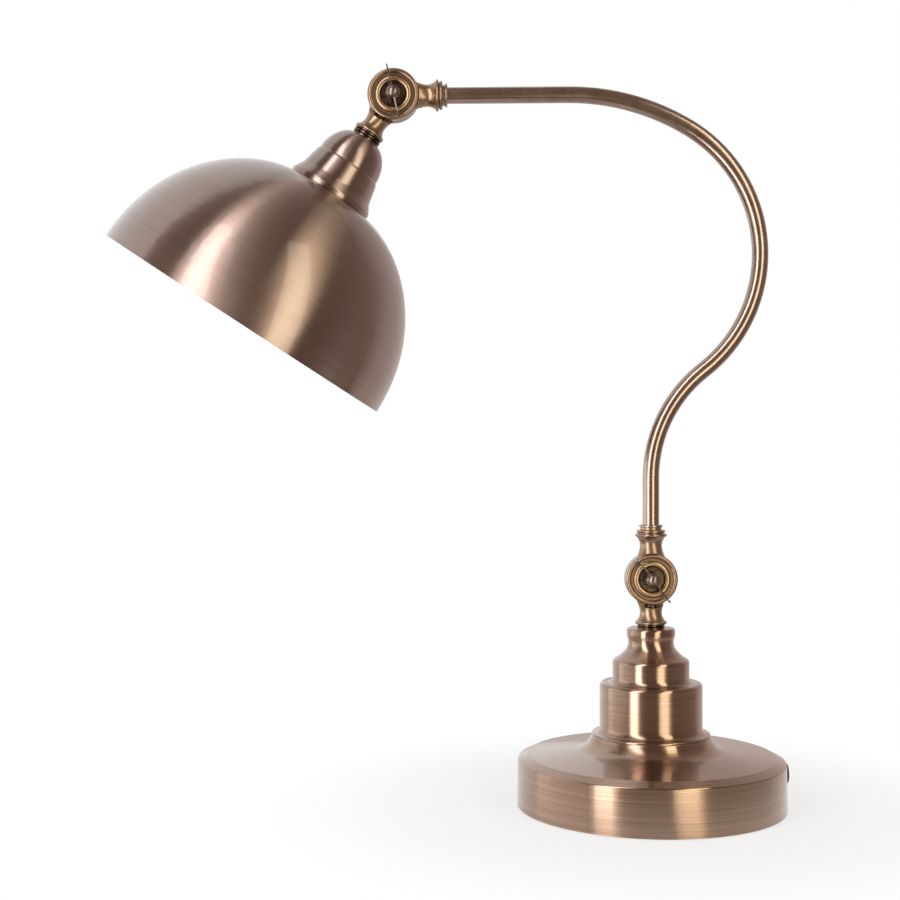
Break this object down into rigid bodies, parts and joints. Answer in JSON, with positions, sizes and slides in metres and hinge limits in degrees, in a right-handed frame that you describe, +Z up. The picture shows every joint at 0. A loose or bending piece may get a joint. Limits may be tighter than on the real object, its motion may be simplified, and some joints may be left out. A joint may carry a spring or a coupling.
{
  "type": "swing arm desk lamp",
  "caption": "Desk lamp with a round weighted base, stepped turret, S-bent bronze arm, knuckle joints locked by wing screws and a domed metal shade over a screw-cap bulb.",
  "frame": {"origin": "centre of the felt under the base, on the desk", "axes": "+Z up, -X towards the shade, +X towards the cord inlet, -Y towards the wing screws"},
  "size_m": [0.4215, 0.198, 0.4591],
  "materials": {
    "antique_bronze": "brushed antique bronze, lacquered",
    "antique_brass": "polished antique brass with darkened hollows",
    "dark_bronze": "blackened bronze",
    "wing_metal": "dark plated die casting",
    "pale_ring": "plain nickel",
    "zinc_steel": "zinc plated",
    "weight_iron": "as cast, primed",
    "felt": "dense felt",
    "fibre": "vulcanised fibre",
    "black_bush": "moulded",
    "flex": "round flex sheath",
    "holder_brass": "pressed brass",
    "holder_plastic": "moulded phenolic",
    "holder_ceramic": "unglazed porcelain",
    "opal_glass": "opal, etched",
    "cap_aluminium": "pressed and rolled",
    "vitrite": "black glass with a soldered tip"
  },
  "bodies": {
    "base": {"felt_pad": "felt", "bottom_plate": "zinc_steel", "base_weight": "weight_iron", "base_pan": "antique_bronze", "turret": "antique_bronze", "base_rod": "zinc_steel", "rod_washer": "zinc_steel", "rod_nut": "zinc_steel", "cord_bush": "black_bush", "base_collar": "dark_bronze", "lower_knuckle_rear": "antique_brass", "lower_friction_washer": "fibre", "base_flex": "flex"},
    "arm": {"lower_knuckle_front": "antique_brass", "lower_ferrule": "antique_brass", "lower_tube_ring": "pale_ring", "lower_screw_washer": "dark_bronze", "arm_tube": "antique_bronze", "arm_flex": "flex", "upper_tube_ring": "pale_ring", "upper_ferrule": "antique_brass", "upper_knuckle_front": "antique_brass", "upper_screw_washer": "dark_bronze"},
    "head": {"upper_knuckle_rear": "antique_brass", "upper_friction_washer": "fibre", "head_collar": "dark_bronze", "head_nipple": "zinc_steel", "head_nut": "zinc_steel", "socket_cup": "antique_bronze", "lampholder_cap": "holder_brass", "lampholder_body": "holder_plastic", "lampholder_insulator": "holder_ceramic", "lampholder_thread": "holder_brass", "centre_contact": "holder_brass", "terminal_screws": "holder_brass", "shade": "antique_bronze", "shade_ring": "holder_plastic", "bulb_contact": "vitrite", "bulb_cap": "cap_aluminium", "bulb_glass": "opal_glass", "head_flex": "flex"},
    "lower_screw": {"lower_wing_screw": "wing_metal"},
    "upper_screw": {"upper_wing_screw": "wing_metal"}
  },
  "joints": [
    {"name": "arm_tilt", "type": "hinge", "parent": "base", "child": "arm", "pos_m": [0, 0, 0.1413], "axis": [0, -1, 0], "range_deg": [-40, 35]},
    {"name": "head_tilt", "type": "hinge", "parent": "arm", "child": "head", "pos_m": [-0.16043, 0, 0.44221], "axis": [0, -1, 0], "range_deg": [-70, 50]},
    {"name": "lower_screw_turn", "type": "hinge", "parent": "base", "child": "lower_screw", "pos_m": [0, 0, 0.1413], "axis": [0, -1, 0], "range_deg": [0, 270]},
    {"name": "upper_screw_turn", "type": "hinge", "parent": "head", "child": "upper_screw", "pos_m": [-0.16043, 0, 0.44221], "axis": [0, -1, 0], "range_deg": [0, 270]}
  ]
}
